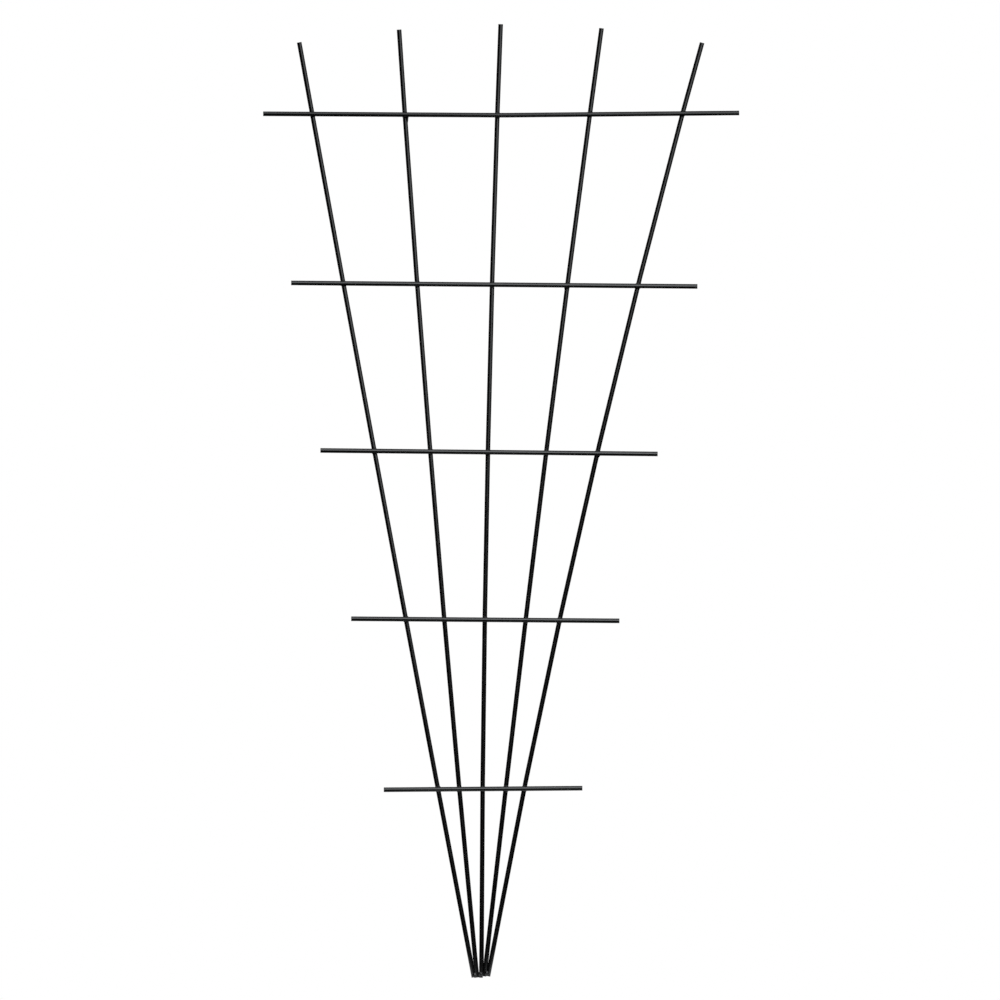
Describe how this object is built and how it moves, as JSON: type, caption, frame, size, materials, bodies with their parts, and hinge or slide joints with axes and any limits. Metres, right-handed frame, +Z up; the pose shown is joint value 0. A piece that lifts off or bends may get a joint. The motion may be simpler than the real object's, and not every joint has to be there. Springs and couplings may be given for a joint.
{
  "type": "espalier frame",
  "caption": "Fan-shaped frame of black-coated round steel rods: uprights welded together at the foot spread up behind level crossbars, to train a wall shrub or climber flat.",
  "frame": {"origin": "on the ground line, at the middle of the welded foot and of the uprights' depth", "axes": "+Z up the frame, +X to the right seen from the front, -Y towards the viewer, where the crossbars are"},
  "size_m": [0.899, 0.0182, 1.8007],
  "materials": {
    "rod_coat": "semi-gloss black powder coat with faint orange peel",
    "weld_coat": "the same black coat over lumpy weld metal"
  },
  "bodies": {
    "root": {"upright_outer_left": "rod_coat", "upright_inner_left": "rod_coat", "upright_centre": "rod_coat", "upright_inner_right": "rod_coat", "upright_outer_right": "rod_coat", "crossbar_bottom": "rod_coat", "crossbar_lower": "rod_coat", "crossbar_middle": "rod_coat", "crossbar_upper": "rod_coat", "crossbar_top": "rod_coat", "weld_bottom_outer_left": "weld_coat", "weld_bottom_inner_left": "weld_coat", "weld_bottom_centre": "weld_coat", "weld_bottom_inner_right": "weld_coat", "weld_bottom_outer_right": "weld_coat", "weld_lower_outer_left": "weld_coat", "weld_lower_inner_left": "weld_coat", "weld_lower_centre": "weld_coat", "weld_lower_inner_right": "weld_coat", "weld_lower_outer_right": "weld_coat", "weld_middle_outer_left": "weld_coat", "weld_middle_inner_left": "weld_coat", "weld_middle_centre": "weld_coat", "weld_middle_inner_right": "weld_coat", "weld_middle_outer_right": "weld_coat", "weld_upper_outer_left": "weld_coat", "weld_upper_inner_left": "weld_coat", "weld_upper_centre": "weld_coat", "weld_upper_inner_right": "weld_coat", "weld_upper_outer_right": "weld_coat", "weld_top_outer_left": "weld_coat", "weld_top_inner_left": "weld_coat", "weld_top_centre": "weld_coat", "weld_top_inner_right": "weld_coat", "weld_top_outer_right": "weld_coat", "foot_weld_left": "weld_coat", "foot_weld_middle": "weld_coat", "foot_weld_right": "weld_coat"}
  },
  "joints": []
}
